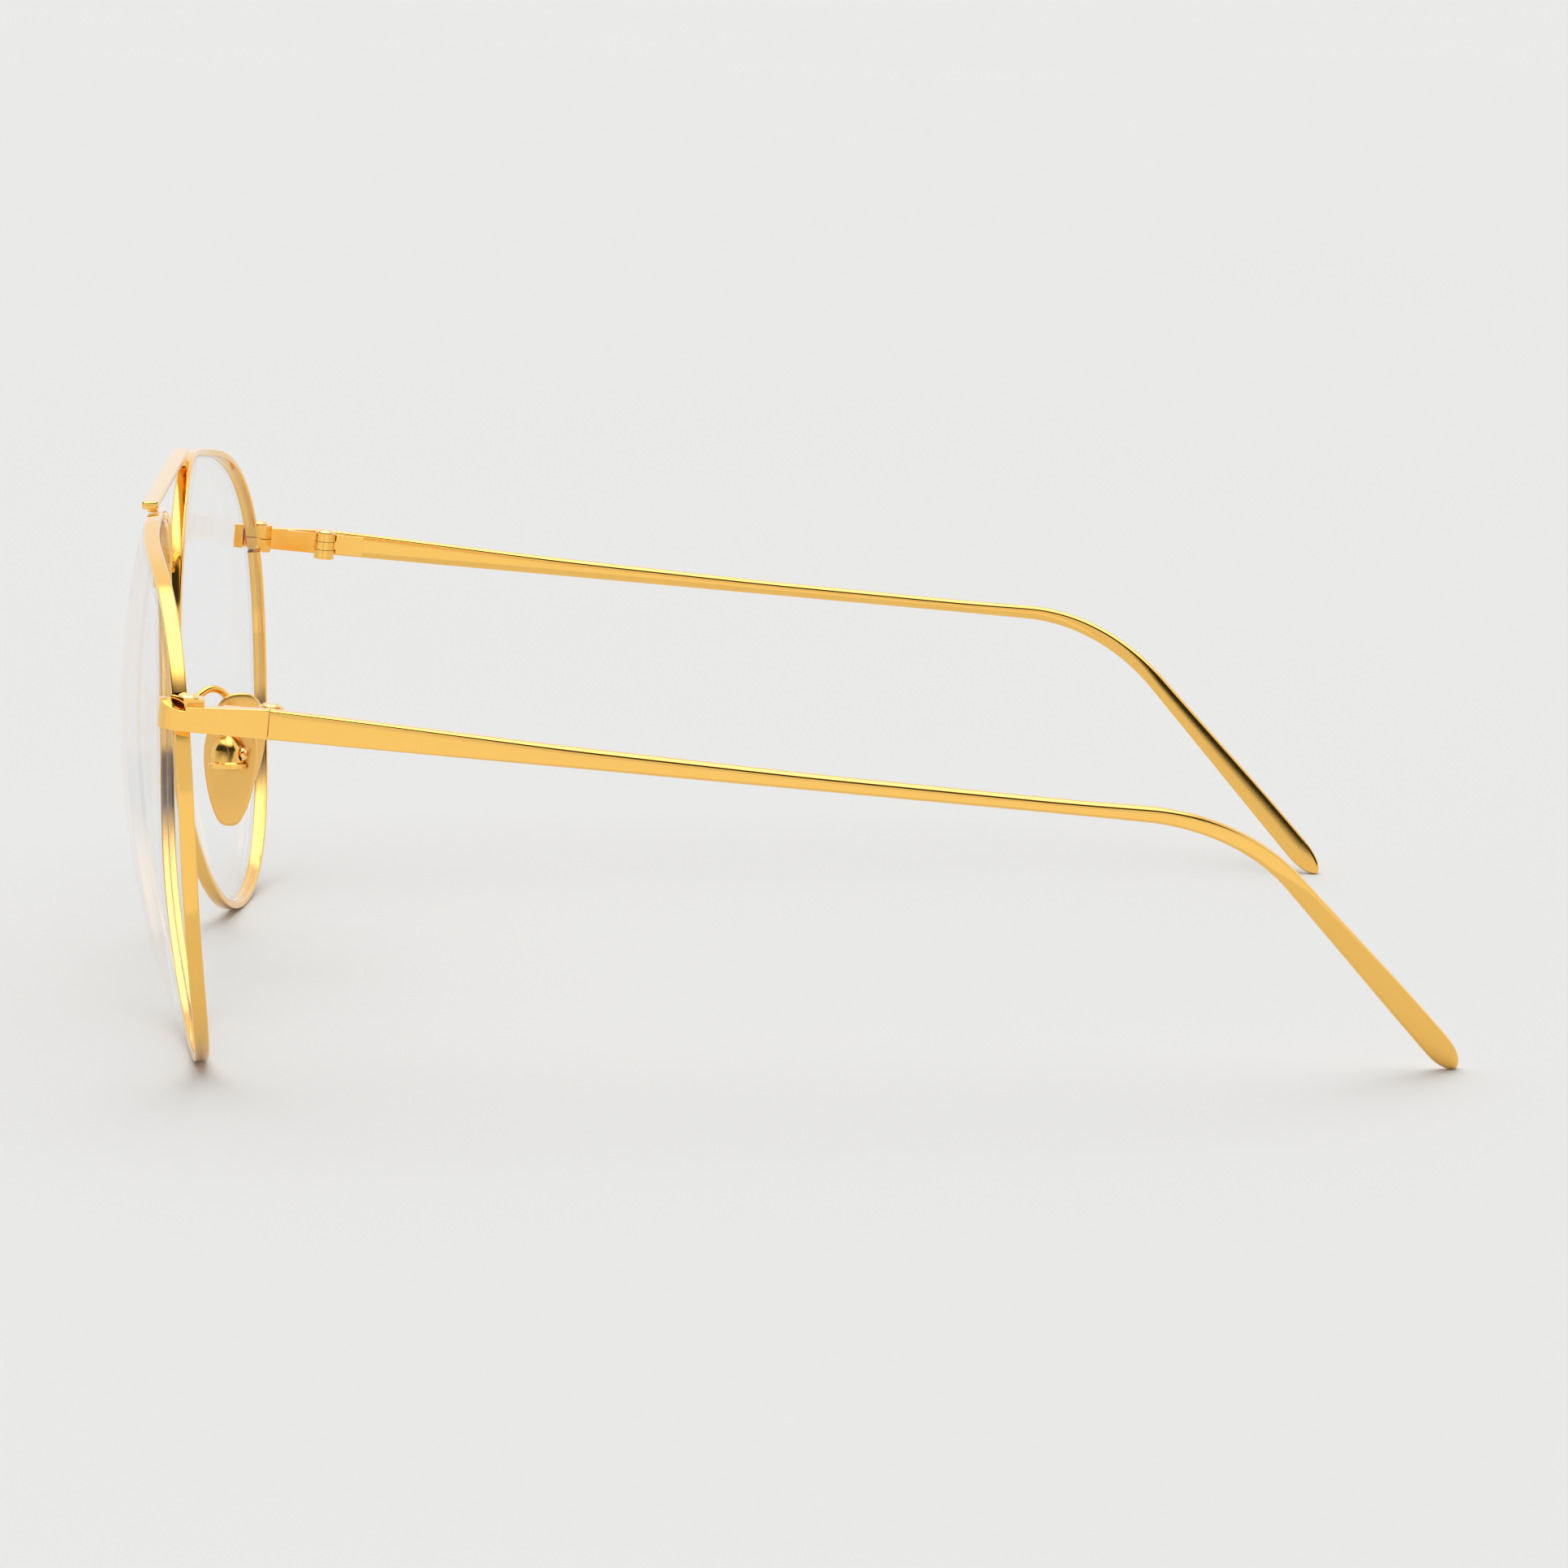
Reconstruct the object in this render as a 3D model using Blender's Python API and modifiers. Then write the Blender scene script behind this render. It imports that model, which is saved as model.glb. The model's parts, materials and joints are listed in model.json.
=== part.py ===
"""Metal eyeglasses with full rims, a double bridge, metal nose pads and folding temples.

Sizes are in millimetres and the mesh helpers turn them into metres. The glasses stand on the
bottoms of the rims and on the temple tips: +Z is up, the front looks towards -Y, the temples
run towards +Y, and +X is the wearer's left. Each side is built once for the left and again
with x turned round for the right.
"""

import math

import bmesh
import bpy
import numpy as np
from mathutils import Euler, Vector

MM = 0.001

# Turns what was made along Z onto the Y axis.
ONTO_Y = Euler((math.radians(-90), 0, 0)).to_matrix()

# The lens shape: radii every 30 degrees round its centre, from the temporal side upwards.
LENS_RADII = (30.5, 32.3, 30.8, 29.4, 33.2, 33.4, 29.7, 26.2, 26.8, 28.8, 30.0, 29.7)
LENS_CENTRE_X = 37.0
LENS_CENTRE_Y = -73.2
LENS_CENTRE_Z = 29.48
LENS_BASE_RADIUS = 95.5
LENS_WRAP = math.radians(6.1)
LENS_LEAN = math.radians(3.7)
LENS_FRONT = -1.25
LENS_BACK = 0.55
LENS_EDGE_INSET = 0.5
OUTLINE_STEPS = 60

# The rim is a grooved strip, deeper front to back than it is thick.
RIM_THICKNESS = 0.9
RIM_DEPTH = 1.7
GROOVE_AT = -0.3
GROOVE_HALF_WIDTH = 0.35
GROOVE_DEEP = 0.3
LOCK_ANGLE = math.radians(26.7)
LOCK_HALF_GAP = 2.3

# The hinge frame: its origin is on the pin, its Y runs along the temple, its Z up the pin.
HINGE_X = 66.0
HINGE_Y = -56.15
HINGE_Z = 43.0
TEMPLE_SLOPE = math.radians(6.0)
STRIP_INNER = 1.4
STRIP_OUTER = 3.0
STRIP_HALF_HEIGHT = 1.6
JOINT_GAP = 0.06

# The temple, along its own length from the hinge.
TEMPLE_SPREAD = 0.0144
BEND_START = 94.0
BEND_RADIUS = 26.0
BEND_ANGLE = math.radians(43.98)
TIP_STRAIGHT = 31.1
TIP_LEAN = 0.38
LEAN_IN = 14.0
SPREAD_END = BEND_START + 6

SOLDER_GAP = 0.05
WIRE_SIDES = 2


def clear_scene():
    for old in list(bpy.data.objects):
        bpy.data.objects.remove(old, do_unlink=True)


def new_collection(name):
    collection = bpy.data.collections.new(name)
    bpy.context.scene.collection.children.link(collection)
    return collection


def metal(name, colour, roughness):
    material = bpy.data.materials.new(name)
    material.use_nodes = True
    shader = material.node_tree.nodes["Principled BSDF"]
    shader.inputs["Base Color"].default_value = (*colour, 1.0)
    shader.inputs["Metallic"].default_value = 1.0
    shader.inputs["Roughness"].default_value = roughness
    return material


def clear_plastic(name):
    material = bpy.data.materials.new(name)
    material.use_nodes = True
    shader = material.node_tree.nodes["Principled BSDF"]
    shader.inputs["Base Color"].default_value = (0.95, 0.96, 0.97, 1.0)
    shader.inputs["Metallic"].default_value = 0.0
    shader.inputs["Roughness"].default_value = 0.02
    shader.inputs["Transmission Weight"].default_value = 1.0
    shader.inputs["IOR"].default_value = 1.59
    return material


clear_scene()
PARTS = new_collection("eyeglasses")
CUTTERS = new_collection("cutters")
GOLD = metal("polished_gold", (1.0, 0.58, 0.13), 0.12)
PAD_GOLD = metal("satin_gold", (0.95, 0.55, 0.13), 0.25)
SCREW_GOLD = metal("screw_gold", (1.0, 0.66, 0.24), 0.18)
CLEAR = clear_plastic("clear_lens")


def pivot(name, place, turn):
    """An empty on a joint or at the origin of a sub-assembly, in millimetres and radians."""
    empty = bpy.data.objects.new(name, None)
    empty.empty_display_size = 5 * MM
    empty.location = Vector(place) * MM
    empty.rotation_euler = Euler(turn, "XYZ")
    PARTS.objects.link(empty)
    return empty


def finish_mesh(name, bm, material, parent=None, collection=None):
    """Turns a bmesh in millimetres into an object in metres, with its faces pointing out."""
    bmesh.ops.scale(bm, vec=(MM, MM, MM), verts=bm.verts)
    bmesh.ops.recalc_face_normals(bm, faces=bm.faces)
    mesh = bpy.data.meshes.new(name)
    bm.to_mesh(mesh)
    bm.free()
    mesh.shade_smooth()
    mesh.set_sharp_from_angle(angle=math.radians(40))
    made = bpy.data.objects.new(name, mesh)
    if material:
        mesh.materials.append(material)
    (collection or PARTS).objects.link(made)
    made.parent = parent
    if collection == CUTTERS:
        made.hide_render = True
        made.display_type = "WIRE"
    return made


def add_ring(bm, points, side):
    return [bm.verts.new((side * x, y, z)) for x, y, z in points]


def bridge_rings(bm, first, second):
    count = len(first)
    for i in range(count):
        j = (i + 1) % count
        bm.faces.new((first[i], first[j], second[j], second[i]))


def loft(name, sections, side, material, parent=None, collection=None):
    """A solid through unlike closed sections, with flat ends."""
    bm = bmesh.new()
    rings = [add_ring(bm, section, side) for section in sections]
    for first, second in zip(rings, rings[1:]):
        bridge_rings(bm, first, second)
    bm.faces.new(rings[0])
    bm.faces.new(rings[-1])
    return finish_mesh(name, bm, material, parent, collection)


def add_box(bm, low, high, side=1):
    low, high = Vector(low), Vector(high)
    made = bmesh.ops.create_cube(bm, size=1.0)
    for vert in made["verts"]:
        for axis in range(3):
            vert.co[axis] = high[axis] if vert.co[axis] > 0 else low[axis]
        vert.co.x *= side


def add_cylinder(bm, radius, low, high, axis, place=(0, 0, 0), steps=24):
    """A cylinder from low to high along its axis, which goes through place."""
    made = bmesh.ops.create_cone(
        bm, cap_ends=True, segments=steps, radius1=radius, radius2=radius, depth=high - low
    )
    bmesh.ops.translate(bm, verts=made["verts"], vec=(0, 0, (low + high) / 2))
    if axis == "Y":
        bmesh.ops.rotate(bm, verts=made["verts"], matrix=ONTO_Y)
    bmesh.ops.translate(bm, verts=made["verts"], vec=place)


def box(name, low, high, side, material, parent=None, collection=None):
    bm = bmesh.new()
    add_box(bm, low, high, side)
    return finish_mesh(name, bm, material, parent, collection)


def cylinder(
    name, radius, low, high, axis, material, parent=None, collection=None,
    place=(0, 0, 0), steps=24,
):
    bm = bmesh.new()
    add_cylinder(bm, radius, low, high, axis, place, steps)
    return finish_mesh(name, bm, material, parent, collection)


def boolean(target, operation, other):
    modifier = target.modifiers.new(other.name, "BOOLEAN")
    modifier.operation = operation
    modifier.object = other
    modifier.solver = "EXACT"


def turned(name, profile, axis, material, parent, place=(0, 0, 0), steps=24):
    """A turned piece: profile holds (radius, height) from the top down, on the axis at both ends."""
    bm = bmesh.new()
    verts = [bm.verts.new((radius, 0, height)) for radius, height in profile]
    edges = [bm.edges.new(pair) for pair in zip(verts, verts[1:])]
    bmesh.ops.spin(
        bm, geom=verts + edges, cent=(0, 0, 0), axis=(0, 0, 1), angle=math.tau,
        steps=steps, use_merge=True, use_duplicate=False,
    )
    bmesh.ops.remove_doubles(bm, verts=bm.verts, dist=0.0001)
    if axis == "Y":
        bmesh.ops.rotate(bm, verts=bm.verts, matrix=ONTO_Y)
    bmesh.ops.translate(bm, verts=bm.verts, vec=place)
    return finish_mesh(name, bm, material, parent)


def wire(name, points, side, radius, material, parent=None):
    """A round wire along a smooth curve through its points."""
    curve = bpy.data.curves.new(name, "CURVE")
    curve.dimensions = "3D"
    curve.bevel_depth = radius * MM
    curve.bevel_resolution = WIRE_SIDES
    curve.use_fill_caps = True
    spline = curve.splines.new("POLY")
    spline.points.add(len(points) - 1)
    for point, (x, y, z) in zip(spline.points, points):
        point.co = (side * x * MM, y * MM, z * MM, 1.0)
    curve.materials.append(material)
    made = bpy.data.objects.new(name, curve)
    PARTS.objects.link(made)
    made.parent = parent
    return made


def smooth_path(points, per_span):
    """Points on a Catmull-Rom curve through the given ones."""
    given = np.array(points, float)
    given = np.vstack([2 * given[0] - given[1], given, 2 * given[-1] - given[-2]])
    path = []
    for a, b, c, d in zip(given, given[1:], given[2:], given[3:]):
        for t in np.arange(per_span) / per_span:
            path.append(
                0.5 * (2 * b + (c - a) * t + (2 * a - 5 * b + 4 * c - d) * t**2
                       + (3 * b - a - 3 * c + d) * t**3)
            )
    path.append(given[-2])
    return path


# The lens outline and the curved plane that it lies in

RADIUS_WAVES = np.fft.rfft(LENS_RADII) / len(LENS_RADII)


def outline_radius(angle):
    """The smooth closed curve through the lens radii."""
    radius = RADIUS_WAVES[0].real
    last = len(RADIUS_WAVES) - 1
    for number in range(1, last + 1):
        share = 1 if number == last else 2
        wave = RADIUS_WAVES[number] * np.exp(1j * number * angle)
        radius += share * wave.real
    return radius


def outline_uv(angle):
    radius = outline_radius(angle)
    return np.array([radius * math.cos(angle), radius * math.sin(angle)])


def on_lens(u, v):
    """A point of the left lens surface at u outwards and v upwards from the lens centre."""
    back = (u * u + v * v) / (2 * LENS_BASE_RADIUS)
    back += math.tan(LENS_WRAP) * u - math.tan(LENS_LEAN) * v
    return np.array([LENS_CENTRE_X + u, LENS_CENTRE_Y + back, LENS_CENTRE_Z + v])


def unit(vector):
    return vector / np.linalg.norm(vector)


REARWARD = unit(np.array([-math.tan(LENS_WRAP), 1.0, math.tan(LENS_LEAN)]))


def rim_frame(angle):
    """The strip's centre at an angle, and its outward direction square to REARWARD."""
    small = 0.002
    before = on_lens(*outline_uv(angle - small))
    after = on_lens(*outline_uv(angle + small))
    outward = unit(np.cross(unit(after - before), -REARWARD))
    return on_lens(*outline_uv(angle)), outward


def rim_point(angle, out, back):
    centre, outward = rim_frame(angle)
    return centre + out * outward + back * REARWARD


def add_rim(name, side):
    half, deep = RIM_THICKNESS / 2, RIM_DEPTH / 2
    profile = (
        (half, -deep),
        (half, deep),
        (-half, deep),
        (-half, GROOVE_AT + GROOVE_HALF_WIDTH),
        (-half + GROOVE_DEEP, GROOVE_AT),
        (-half, GROOVE_AT - GROOVE_HALF_WIDTH),
        (-half, -deep),
    )
    gap = LOCK_HALF_GAP / outline_radius(LOCK_ANGLE)
    angles = np.linspace(LOCK_ANGLE + gap, LOCK_ANGLE - gap + math.tau, OUTLINE_STEPS)
    sections = [[rim_point(angle, *corner) for corner in profile] for angle in angles]
    return loft(name, sections, side, GOLD)


def add_lens(name, side):
    """A meniscus: front and back faces of rings, and a bevelled edge that sits in the groove."""
    inset = -LENS_EDGE_INSET
    apex = inset + GROOVE_DEEP - 0.02
    bevel = GROOVE_HALF_WIDTH - 0.06
    edge = (
        (inset, LENS_FRONT),
        (inset, GROOVE_AT - bevel),
        (apex, GROOVE_AT),
        (inset, GROOVE_AT + bevel),
        (inset, LENS_BACK),
    )
    gap = LOCK_HALF_GAP / outline_radius(LOCK_ANGLE)
    angles = list(np.linspace(LOCK_ANGLE + gap, LOCK_ANGLE - gap + math.tau, OUTLINE_STEPS))
    angles.append(LOCK_ANGLE)
    edges = [rim_point(angle, inset, 0) for angle in angles]

    def face_ring(share, depth):
        ring = []
        for x, _, z in edges:
            u, v = share * (x - LENS_CENTRE_X), share * (z - LENS_CENTRE_Z)
            ring.append(on_lens(u, v) + depth * REARWARD)
        return ring

    shares = (0.25, 0.5, 0.75, 0.92)
    rings = [face_ring(share, LENS_FRONT) for share in shares]
    rings += [[rim_point(angle, *corner) for angle in angles] for corner in edge]
    rings += [face_ring(share, LENS_BACK) for share in reversed(shares)]
    bm = bmesh.new()
    made = [add_ring(bm, ring, side) for ring in rings]
    for first, second in zip(made, made[1:]):
        bridge_rings(bm, first, second)
    for ring, depth in ((made[0], LENS_FRONT), (made[-1], LENS_BACK)):
        x, y, z = on_lens(0, 0) + depth * REARWARD
        middle = bm.verts.new((side * x, y, z))
        for i, vert in enumerate(ring):
            bm.faces.new((vert, ring[(i + 1) % len(ring)], middle))
    return finish_mesh(name, bm, CLEAR)


# The brow bar and the lower bridge

BAR_HALF_LENGTH = 24.5
BAR_DEPTH = 1.85
BAR_THICKNESS = 0.85
BAR_Y = -71.7
BAR_EASE = 0.12
BAR_FOOT_LENGTH = 3.0
BAR_FOOT_DEPTH = 1.1
BRIDGE_HALF_WIDTH = 8.26
BRIDGE_FOOT_Z = 48.6
BRIDGE_RISE = 7.2
BRIDGE_Y = -72.3
BRIDGE_RADIUS = 0.6
BRIDGE_SQUARENESS = 2.5


def rim_top_line():
    """The (x, z) of the rim's outer face along its top, from the nose side outwards."""
    line = []
    for angle in np.linspace(math.radians(140), math.radians(80), 200):
        places = [rim_point(angle, RIM_THICKNESS / 2, back) for back in (-RIM_DEPTH / 2, RIM_DEPTH / 2)]
        line.append((places[1][0], max(place[2] for place in places)))
    return np.array(line)


RIM_TOP = rim_top_line()
BAR_BOTTOM = RIM_TOP[:, 1].max() + SOLDER_GAP


def add_brow_bar():
    """A flat bar that rests on both rims, with a solder foot under each end."""
    back = BAR_Y + BAR_DEPTH / 2
    bar = box(
        "brow_bar",
        (-BAR_HALF_LENGTH, BAR_Y - BAR_DEPTH / 2, BAR_BOTTOM),
        (BAR_HALF_LENGTH, back, BAR_BOTTOM + BAR_THICKNESS),
        1, GOLD,
    )
    bevel = bar.modifiers.new("eased edges", "BEVEL")
    bevel.width = BAR_EASE * MM
    bevel.segments = 2
    for side in (1, -1):
        sections = []
        for x in (BAR_HALF_LENGTH - BAR_FOOT_LENGTH, BAR_HALF_LENGTH - BAR_EASE):
            low = np.interp(x, RIM_TOP[:, 0], RIM_TOP[:, 1]) + SOLDER_GAP
            high = BAR_BOTTOM + BAR_THICKNESS / 2
            near, far = back - BAR_EASE - BAR_FOOT_DEPTH, back - BAR_EASE
            sections.append([(x, near, low), (x, far, low), (x, far, high), (x, near, high)])
        foot = loft("brow_bar_foot", sections, side, None, None, CUTTERS)
        boolean(bar, "UNION", foot)
    return bar


def add_lower_bridge():
    """A wire arch: a squarish half ellipse whose feet stand against the rims."""
    power = 2 / BRIDGE_SQUARENESS
    points = []
    for angle in np.linspace(0, math.pi, 25):
        across = math.copysign(abs(math.cos(angle)) ** power, math.cos(angle))
        up = abs(math.sin(angle)) ** power
        points.append((BRIDGE_HALF_WIDTH * across, BRIDGE_Y, BRIDGE_FOOT_Z + BRIDGE_RISE * up))
    return wire("lower_bridge", points, 1, BRIDGE_RADIUS, GOLD)


# The endpiece, in the hinge frame: a strip that wraps round to the front of the rim

PLATE_END = -8.9
WRAP_FRONT = -11.95
WRAP_THICKNESS = 1.2
WRAP_RADIUS = 2.9
WRAP_END_X = -0.1
WRAP_SIDE_TOP = 0.62
WRAP_FRONT_TOP = 1.52
SEAM = 0.02

# Along the flat plate, from the joint forwards: place and top edge.
PLATE_TOPS = ((-JOINT_GAP / 2, STRIP_HALF_HEIGHT), (-4.5, 1.35), (PLATE_END + SEAM, 1.05))


def endpiece_section(inner, outer, top):
    """Four corners at a place of the plan curve, whose inner and outer edge are (x, y)."""
    bottom = -STRIP_HALF_HEIGHT
    return [(*inner, bottom), (*outer, bottom), (*outer, top), (*inner, top)]


def add_endpiece(name, side, parent):
    """A flat plate that steps down at a seam and wraps round the front corner in an arc."""
    sections = []
    for y, top in PLATE_TOPS:
        sections.append(endpiece_section((STRIP_INNER, y), (STRIP_OUTER, y), top))
    inner_x = STRIP_OUTER - WRAP_THICKNESS
    sections.append(
        endpiece_section((inner_x, PLATE_END), (STRIP_OUTER, PLATE_END), WRAP_SIDE_TOP)
    )
    centre_x, centre_y = STRIP_OUTER - WRAP_RADIUS, WRAP_FRONT + WRAP_RADIUS
    short = WRAP_RADIUS - WRAP_THICKNESS
    for share in np.linspace(0.12, 1.0, 9):
        angle = share * math.pi / 2
        cos, sin = math.cos(angle), math.sin(angle)
        inner = (centre_x + short * cos, centre_y - short * sin)
        outer = (centre_x + WRAP_RADIUS * cos, centre_y - WRAP_RADIUS * sin)
        top = WRAP_SIDE_TOP + (WRAP_FRONT_TOP - WRAP_SIDE_TOP) * sin**2
        sections.append(endpiece_section(inner, outer, top))
    inner, outer = (WRAP_END_X, WRAP_FRONT + WRAP_THICKNESS), (WRAP_END_X, WRAP_FRONT)
    sections.append(endpiece_section(inner, outer, WRAP_FRONT_TOP))
    return loft(name, sections, side, GOLD, parent)


# The temple, in the hinge frame


def temple_path(length):
    """The centre line's (y, z) and direction at a length from the hinge."""
    arc = BEND_RADIUS * BEND_ANGLE
    if length <= BEND_START:
        return length, 0.0, 0.0
    if length <= BEND_START + arc:
        angle = (length - BEND_START) / BEND_RADIUS
        y = BEND_START + BEND_RADIUS * math.sin(angle)
        z = -BEND_RADIUS * (1 - math.cos(angle))
        return y, z, angle
    rest = length - BEND_START - arc
    y = BEND_START + BEND_RADIUS * math.sin(BEND_ANGLE) + rest * math.cos(BEND_ANGLE)
    z = -BEND_RADIUS * (1 - math.cos(BEND_ANGLE)) - rest * math.sin(BEND_ANGLE)
    return y, z, BEND_ANGLE


def temple_lateral(length):
    """How far the centre line is from the pin across the head."""
    centre = (STRIP_INNER + STRIP_OUTER) / 2 + TEMPLE_SPREAD * min(length, SPREAD_END)
    past = length - BEND_START
    if past <= 0:
        return centre
    if past < LEAN_IN:
        return centre - TIP_LEAN * past * past / (2 * LEAN_IN)
    return centre - TIP_LEAN * (past - LEAN_IN / 2)


BEND_END = BEND_START + BEND_RADIUS * BEND_ANGLE
TEMPLE_LENGTH = BEND_END + TIP_STRAIGHT
TIP_ROUND = 4.0
TEMPLE_EASE = 0.3
TOP_TAPER_SHARE = 0.35

# Side height and thickness at lengths from the hinge: the bar tapers and swells to a flat tip.
SIDE_HEIGHTS = (
    (0, 3.2), (9, 3.0), (30, 2.35), (58, 1.8), (86, 1.62), (114, 2.1), (134, 3.0), (145, 3.1),
)
THICKNESSES = ((0, 1.6), (40, 1.6), (86, 1.5), (118, 1.4), (145, 1.3))


def along(table, length):
    return float(np.interp(length, [row[0] for row in table], [row[1] for row in table]))


def temple_section(length, narrow=1.0):
    """Eight corners of a bar with eased edges; the taper is taken off the top edge."""
    y, z, angle = temple_path(length)
    x = temple_lateral(length)
    height = along(SIDE_HEIGHTS, length)
    drop = (along(SIDE_HEIGHTS, 0) - height) / 2
    middle = -drop * max(0.0, 1 - length / BEND_START * TOP_TAPER_SHARE)
    half_h, half_t = narrow * height / 2, along(THICKNESSES, length) / 2
    half_t *= 0.75 + 0.25 * narrow
    ease = min(TEMPLE_EASE, half_h / 2)
    corner = ((half_t - ease, half_h), (half_t, half_h - ease))
    ring = []
    for outwards, upwards in ((1, -1), (1, 1), (-1, 1), (-1, -1)):
        order = corner if outwards * upwards < 0 else reversed(corner)
        for across, up in order:
            up = upwards * up + middle
            place_y, place_z = y + up * math.sin(angle), z + up * math.cos(angle)
            ring.append((x + outwards * across, place_y, place_z))
    return ring


def add_temple(name, side, parent):
    lengths = [JOINT_GAP / 2, 5, 10, 20, 30, 40, 50, 60, 70, 80, 88]
    lengths += list(np.linspace(BEND_START, BEND_END, 9))
    lengths += list(np.linspace(119, TEMPLE_LENGTH - TIP_ROUND, 6))
    sections = [temple_section(length) for length in lengths]
    for turn in (20, 40, 57, 72, 82):
        angle = math.radians(turn)
        reach = TEMPLE_LENGTH - TIP_ROUND * (1 - math.sin(angle))
        sections.append(temple_section(reach, math.cos(angle)))
    return loft(name, sections, side, GOLD, parent)


# The hinge, in the hinge frame

BARREL_RADIUS = 1.35
BARREL_BOTTOM = -1.9
BARREL_TOP = 1.5
MIDDLE_LOW = -0.72
MIDDLE_HIGH = 0.42
KNUCKLE_GAP = 0.05
KNUCKLE_ROOM = 0.15
PIN_RADIUS = 0.5
LEAF_LENGTH = 5.0
LEAF_INNER = 0.35
LEAF_HALF_HEIGHT = 1.25
HINGE_HEAD = 1.05
CLEARANCE = 0.05
THREAD_CLEARANCE = 0.02
HEAD_GAP = 0.03


def add_front_hinge(name, side, parent):
    """Two knuckles and a leaf soldered inside the endpiece."""
    leaf = box(
        name,
        (LEAF_INNER, -LEAF_LENGTH, -LEAF_HALF_HEIGHT),
        (BARREL_RADIUS, 0.4, LEAF_HALF_HEIGHT),
        side, GOLD, parent,
    )
    knuckles = (("lower", BARREL_BOTTOM, MIDDLE_LOW), ("upper", MIDDLE_HIGH, BARREL_TOP))
    for word, low, high in knuckles:
        knuckle = cylinder(name + "_" + word, BARREL_RADIUS, low, high, "Z", None, parent, CUTTERS)
        boolean(leaf, "UNION", knuckle)
    # The middle is cut away for the temple's knuckle, and the leaf past the pin.
    room = box(
        name + "_room", (-3, -1.5, MIDDLE_LOW), (3, 3, MIDDLE_HIGH), side, None, parent, CUTTERS
    )
    boolean(leaf, "DIFFERENCE", room)
    bore = cylinder(name + "_bore", PIN_RADIUS + THREAD_CLEARANCE, -3, 3, "Z", None, parent, CUTTERS)
    boolean(leaf, "DIFFERENCE", bore)
    return leaf


def add_rear_hinge(name, side, parent):
    """One knuckle and a leaf soldered inside the temple."""
    leaf = box(
        name,
        (LEAF_INNER, 0, -LEAF_HALF_HEIGHT),
        (BARREL_RADIUS, LEAF_LENGTH, LEAF_HALF_HEIGHT),
        side, GOLD, parent,
    )
    low, high = MIDDLE_LOW + KNUCKLE_GAP, MIDDLE_HIGH - KNUCKLE_GAP
    for word, bottom, top in (("under", -3, low), ("over", high, 3)):
        room = cylinder(
            name + "_" + word, BARREL_RADIUS + KNUCKLE_ROOM, bottom, top, "Z", None, parent, CUTTERS
        )
        boolean(leaf, "DIFFERENCE", room)
    knuckle = cylinder(name + "_knuckle", BARREL_RADIUS, low, high, "Z", None, parent, CUTTERS)
    boolean(leaf, "UNION", knuckle)
    bore = cylinder(name + "_bore", PIN_RADIUS + KNUCKLE_GAP, -3, 3, "Z", None, parent, CUTTERS)
    boolean(leaf, "DIFFERENCE", bore)
    return leaf


def add_screw(name, side, parent, place, axis, shank, length, head, head_height):
    """A slotted screw with a domed head, its seat at place and its shank below it."""
    profile = [(0, head_height), (0.55 * head, 0.9 * head_height), (0.9 * head, 0.55 * head_height)]
    profile += [(head, 0.2 * head_height), (head, 0), (shank, 0), (shank, -length), (0, -length)]
    x, y, z = place
    screw = turned(name, profile, axis, SCREW_GOLD, parent, (side * x, y, z), 20)
    deep, wide = 0.45 * head_height, 0.14 * head + 0.08
    if axis == "Z":
        low = (x - head - 1, y - wide, z + head_height - deep)
        high = (x + head + 1, y + wide, z + head_height + 1)
    else:
        low = (x - head - 1, y + head_height - deep, z - wide)
        high = (x + head + 1, y + head_height + 1, z + wide)
    slot = box(name + "_slot", low, high, side, None, parent, CUTTERS)
    boolean(screw, "DIFFERENCE", slot)
    return screw


# The closing block that holds the two ends of the rim, in the hinge frame

BLOCK_OUTER = STRIP_INNER - SOLDER_GAP
BLOCK_HALF_HEIGHT = 1.75
BLOCK_SPLIT = 0.05
BLOCK_REAR = 2.5
CLOSING_SHANK = 0.5
CLOSING_HEAD = 1.1


def to_hinge_frame(point):
    """Coordinates in the left hinge frame of a point of the glasses."""
    x, y, z = np.array(point) - (HINGE_X, HINGE_Y, HINGE_Z)
    cos, sin = math.cos(TEMPLE_SLOPE), math.sin(TEMPLE_SLOPE)
    return np.array([x, y * cos - z * sin, y * sin + z * cos])


def rim_at_height(height):
    """Where the rim's centre line crosses a height of the hinge frame, beside the endpiece."""
    angles = LOCK_ANGLE + np.linspace(-0.15, 0.15, 121)
    places = [to_hinge_frame(rim_frame(angle)[0]) for angle in angles]
    return min(places, key=lambda place: abs(place[2] - height))


def block_outline(height):
    """An L in plan: a tongue beside the rim's end, and a wider boss behind it for the screw."""
    x, y, _ = rim_at_height(height)
    inner = x - 0.08
    front, step, rear = y - 0.8, y + RIM_DEPTH / 2 + 0.25, rim_at_height(0)[1] + BLOCK_REAR
    boss = rim_at_height(0)[0] - 0.9
    outer = BLOCK_OUTER
    return [
        (inner, front), (outer - 1.0, front), (outer, front + 1.4), (outer, rear), (boss + 0.7, rear),
        (boss, rear - 0.7), (boss, step), (inner, step),
    ]


def add_closing_block(name, side, parent, low, high, bore_radius):
    sections = []
    for height in (low, high):
        sections.append([(x, y, height) for x, y in block_outline(height)])
    block = loft(name, sections, side, GOLD, parent)
    x, y = closing_screw_place()
    bore = cylinder(
        name + "_bore", bore_radius, -4, 4, "Z", None, parent, CUTTERS, (side * x, y, 0)
    )
    boolean(block, "DIFFERENCE", bore)
    return block


def closing_screw_place():
    x, y, _ = rim_at_height(0)
    return x + 0.85, y + 0.75


# The nose pad and its arm; the pad's frame has its Y along the rocking screw

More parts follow.
